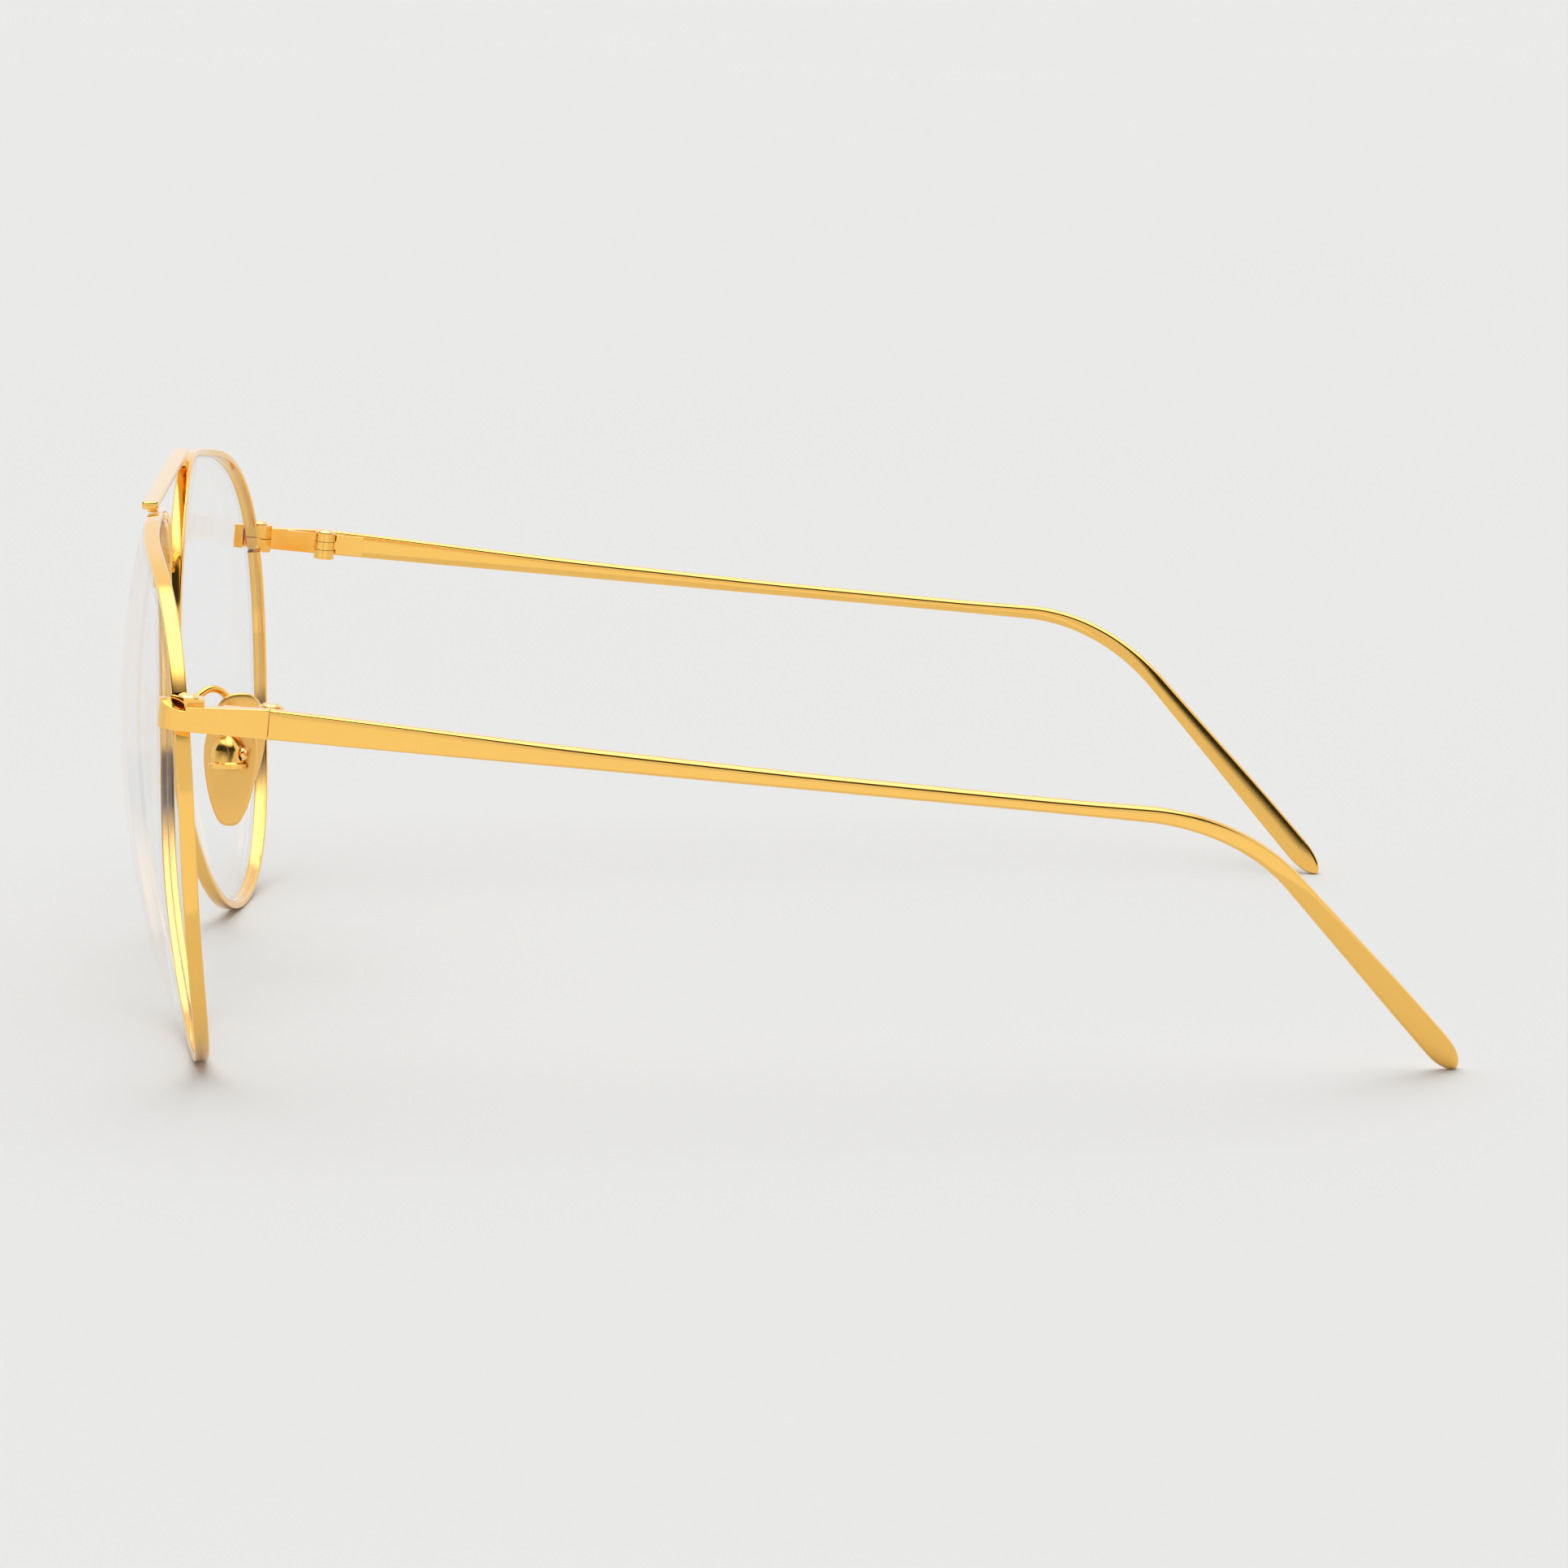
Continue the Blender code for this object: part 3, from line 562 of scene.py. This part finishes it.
HINGE = np.array([66.0, -56.15, 43.0])
TEMPLE_SLOPE = math.radians(6.0)
STRIP_CENTRE = 2.2
TEMPLE_SPREAD = 0.0144
BEND_START = 94.0
BEND_RADIUS = 26.0
BEND_ANGLE = math.radians(43.98)
BEND_END = BEND_START + BEND_RADIUS * BEND_ANGLE
TIP_STRAIGHT = 31.1
TIP_LEAN = 0.38
LEAN_IN = 14.0
TIP_ROUND = 4.0
TEMPLE_LENGTH = BEND_END + TIP_STRAIGHT
TOP_TAPER_SHARE = 0.35
EASES = ((0, 0.25), (12, 0.35), (35, 0.66), (86, 0.66), (114, 0.5), (145, 0.4))
JOINT_HALF_GAP = 0.03
HEIGHTS = (
    (0, 3.2), (9, 3.0), (30, 2.35), (58, 1.8), (86, 1.62), (114, 2.1), (134, 3.0), (145, 3.1),
)
THICKNESSES = ((0, 1.6), (40, 1.6), (86, 1.5), (118, 1.4), (145, 1.3))


def along(table, length, blur=4.0):
    """A table read at a length, with its corners rounded off."""
    places = [row[0] for row in table]
    values = [row[1] for row in table]
    reach = min(blur, length, TEMPLE_LENGTH - length)
    return float(np.interp(length + np.linspace(-reach, reach, 9), places, values).mean())


def from_hinge(x, y, z):
    """A place of the left hinge frame, whose Y runs along the temple, in the glasses' frame."""
    cos, sin = math.cos(TEMPLE_SLOPE), math.sin(TEMPLE_SLOPE)
    return HINGE + (x, y * cos + z * sin, z * cos - y * sin)


def temple_ring(length, narrow=1.0):
    past = length - BEND_START
    turn = min(max(past, 0), BEND_END - BEND_START) / BEND_RADIUS
    rest = max(0, length - BEND_END)
    y = min(length, BEND_START) + BEND_RADIUS * math.sin(turn) + rest * math.cos(turn)
    z = -BEND_RADIUS * (1 - math.cos(turn)) - rest * math.sin(turn)
    x = STRIP_CENTRE + TEMPLE_SPREAD * min(length, BEND_START + 6)
    if past > 0:
        x -= TIP_LEAN * (past**2 / (2 * LEAN_IN) if past < LEAN_IN else past - LEAN_IN / 2)
    height = along(HEIGHTS, length)
    drop = (HEIGHTS[0][1] - height) / 2 * max(0.0, 1 - length / BEND_START * TOP_TAPER_SHARE)
    half_height = narrow * height / 2
    half_thick = along(THICKNESSES, length) / 2 * (0.75 + 0.25 * narrow)
    ease = min(along(EASES, length), 0.95 * half_thick, 0.95 * half_height)
    ring = []
    for across, up in eased_rectangle(half_thick, half_height, ease):
        up -= drop
        ring.append(from_hinge(x + across, y + up * math.sin(turn), z + up * math.cos(turn)))
    return ring


lengths = list(np.linspace(JOINT_HALF_GAP, TEMPLE_LENGTH - TIP_ROUND, 170))
for word, side in SIDES:
    rings = [temple_ring(length) for length in lengths]
    for turn in np.linspace(10, 84, 11):
        reach = TEMPLE_LENGTH - TIP_ROUND * (1 - math.sin(math.radians(turn)))
        rings.append(temple_ring(reach, math.cos(math.radians(turn))))
    bar = skin(
        "temple_bar_" + word, rings, side, TEMPLE_GOLD, "temple_" + word, 40
    )
    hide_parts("temple_" + word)


# ---------------------------------------------------------------------------------------------
# The pad arms. A thin wire brazed behind each rim's nasal side, bent up and over in a loop so
# that a fitter can set the pad, and brazed to the top of the pad's box.

ARM_RADIUS = 0.45
ARM_POINTS = (
    (7.25, -70.47, 31.2), (7.55, -69.75, 32.0), (8.3, -68.6, 33.1), (9.05, -67.6, 33.5),
    (9.75, -66.6, 33.2), (10.1, -65.8, 32.4), (10.0, -65.0, 31.3),
)


def smooth_path(points, per_span):
    """Points on a Catmull-Rom curve through the given ones."""
    given = np.array(points, float)
    given = np.vstack([2 * given[0] - given[1], given, 2 * given[-1] - given[-2]])
    path = []
    for a, b, c, d in zip(given, given[1:], given[2:], given[3:]):
        for t in np.arange(per_span) / per_span:
            path.append(
                0.5 * (2 * b + (c - a) * t + (2 * a - 5 * b + 4 * c - d) * t**2
                       + (3 * b - a - 3 * c + d) * t**3)
            )
    return path + [given[-2]]


for word, side in SIDES:
    path = smooth_path(ARM_POINTS, 12)
    arm = tube(
        "pad_arm_wire_" + word, path, [ARM_RADIUS] * len(path), side, FITTING_GOLD, "front",
        14,
    )
    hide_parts("pad_arm_" + word)
    x, y, z = ARM_POINTS[0]
    brazing("pad_arm_braze_" + word, (side * (x - 0.15), y - 0.2, z), (0.55, 0.35, 0.6), seed=9)
    x, y, z = ARM_POINTS[-1]
    brazing("pad_box_braze_" + word, (side * x, y, z - 0.1), (0.6, 0.6, 0.3), seed=11)


# ---------------------------------------------------------------------------------------------
# The nose pads. Pressed metal, domed towards the nose and wider at the top, with a satin finish
# from fine blasting; an ear behind each rocks on a screw in the box.

SATIN_GOLD = gold_plating(
    "satin_gold_pads", (1.0, 0.61, 0.17), (0.94, 0.52, 0.12), 0.26, relief=0.14
)
PAD_PIVOT = np.array([9.9, -64.55, 29.0])
PAD_TURN = Euler((0, -math.radians(9), -math.radians(12))).to_matrix()
PAD_LENGTH = 13.2
PAD_WIDTH = 6.3
PAD_BLUNTNESS = (0.75, 0.07)
PAD_BACK = -1.35
PAD_THICK = 1.3
PAD_MIDDLE = (0.0, -2.0)
EAR_HALF_WIDTH = 0.5
EAR_RADIUS = 0.88


def from_pad(x, y, z):
    return PAD_PIVOT + np.array(PAD_TURN @ Vector((x, y, z)))


def pad_outline(share):
    """A blunt egg, wider at the top than at the bottom, shrunk to a share of itself."""
    points = []
    for angle in np.linspace(0, math.tau, 72, endpoint=False):
        cos, sin = math.cos(angle), math.sin(angle)
        power = PAD_BLUNTNESS[0] + PAD_BLUNTNESS[1] * sin
        across = PAD_WIDTH / 2 * math.copysign(abs(cos) ** power, cos) * (1 + 0.25 * sin)
        points.append((share * across, share * PAD_LENGTH / 2 * sin))
    return points


for word, side in SIDES:
    rings = []
    for turn in np.linspace(4, 90, 14):
        share, rise = math.sin(math.radians(turn)) ** 0.7, math.cos(math.radians(turn)) ** 0.9
        depth = PAD_BACK - PAD_THICK * (0.3 + 0.7 * rise)
        rings.append([
            from_pad(depth, PAD_MIDDLE[0] + across, PAD_MIDDLE[1] + up)
            for across, up in pad_outline(share)
        ])
    for share, back in ((0.995, 0.15), (0.96, 0.04), (0.9, 0.0), (0.5, 0.0), (0.08, 0.0)):
        rings.append([
            from_pad(PAD_BACK - PAD_THICK * back, PAD_MIDDLE[0] + across, PAD_MIDDLE[1] + up)
            for across, up in pad_outline(share)
        ])
    pad = skin(
        "nose_pad_shell_" + word, rings, side, SATIN_GOLD, "nose_pad_" + word, 60
    )
    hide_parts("nose_pad_" + word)
    rings = []
    for across in (-1, 1):
        ring = [(PAD_BACK - 0.1, 0.85), (PAD_BACK - 0.1, -0.85)]
        for turn in np.linspace(-90, 90, 17):
            angle = math.radians(turn)
            ring.append((EAR_RADIUS * math.cos(angle), EAR_RADIUS * math.sin(angle)))
        rings.append([from_pad(x, across * EAR_HALF_WIDTH, z) for x, z in ring])
    skin(
        "nose_pad_ear_" + word, rings, side, FITTING_GOLD, "nose_pad_" + word, 30
    )


# ---------------------------------------------------------------------------------------------
# The studio. A pale seamless floor, a white glow all round with a bright ceiling and a dark gap above
# the camera's side, a soft box lying on the floor and shining up, and a long lens set a little above
# the glasses and square to the near temple.

FLOOR_SIZE = 12.0


def pale_floor(name):
    finish = new_finish(name)
    drift = finish.grain(3, detail=2.0)
    tone = finish.mix(drift, (0.665, 0.665, 0.657, 1), (0.675, 0.675, 0.667, 1))
    shader = finish.node(
        "BsdfPrincipled",
        values={"Base Color": tone, "Roughness": 0.7, "Specular IOR Level": 0.1},
    )
    return finish.close(shader)


bm = bmesh.new()
bmesh.ops.create_grid(bm, x_segments=1, y_segments=1, size=FLOOR_SIZE / 2)
floor_mesh = bpy.data.meshes.new("floor")
bm.to_mesh(floor_mesh)
bm.free()
floor_mesh.materials.append(pale_floor("pale_floor"))
floor = bpy.data.objects.new("floor", floor_mesh)
bpy.context.scene.collection.objects.link(floor)
floor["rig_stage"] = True

FAR_WALL = 1.2
CEILING = 3.2
CEILING_EDGE = (0.80, 0.90)
DARK_GAP = (0.34, 0.42, 0.72, 0.80)


def studio_light(name):
    """A white tent: an even glow, a bright ceiling, and a dark gap above the camera's side."""
    tent = Finish(bpy.data.worlds.new(name))
    place = tent.node("TexCoord", output="Generated")
    side = tent.node("SeparateXYZ", values={"Vector": place}, output="X")
    height = tent.node("SeparateXYZ", values={"Vector": place}, output="Z")

    def rises(value, low, high):
        return tent.node(
            "MapRange", {"clamp": True}, {"Value": value, "From Min": low, "From Max": high}
        )

    ceiling = rises(height, *CEILING_EDGE)
    gap = rises(height, *DARK_GAP[:2]) - rises(height, *DARK_GAP[2:])
    gap = gap * rises(side, 0.1, 0.3)
    wall = 1 + (FAR_WALL - 1) * rises(side, 0.2, -0.4)
    glow = (wall + (CEILING - 1) * ceiling) * (1 - 0.96 * gap)
    light = tent.node("Background", values={"Strength": glow})
    return tent.close(light, "OutputWorld")


bpy.context.scene.world = studio_light("studio")


def soft_box(name, place, aim, size, power):
    light = bpy.data.lights.new(name, "AREA")
    light.shape = "RECTANGLE"
    light.size, light.size_y = size
    light.energy = power
    lamp = bpy.data.objects.new(name, light)
    lamp.location = place
    lamp.visible_camera = False
    lamp.rotation_euler = (Vector(aim) - Vector(place)).to_track_quat("-Z", "Y").to_euler()
    bpy.context.scene.collection.objects.link(lamp)


soft_box("low_reflector", (0.445, 0.0, 0.002), (0.445, 0.0, 1.0), (0.72, 1.2), 0.42)

AIM = Vector((0.0, 0.00165, 0.0229))
AZIMUTH = math.radians(87.46)
ELEVATION = math.radians(10.89)
DISTANCE = 0.615
back = Vector((
    math.sin(AZIMUTH) * math.cos(ELEVATION), -math.cos(AZIMUTH) * math.cos(ELEVATION),
    math.sin(ELEVATION),
))
lens_data = bpy.data.cameras.new("camera")
lens_data.lens = 117.07
lens_data.sensor_width = 36.0
lens_data.clip_start = 0.01
lens_data.clip_end = 50.0
camera = bpy.data.objects.new("camera", lens_data)
camera.location = AIM + back * DISTANCE
camera.rotation_euler = (-back).to_track_quat("-Z", "Y").to_euler()
bpy.context.scene.collection.objects.link(camera)
bpy.context.scene.camera = camera
bpy.context.scene.view_settings.view_transform = "Standard"

bpy.context.view_layer.update()
low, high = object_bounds()
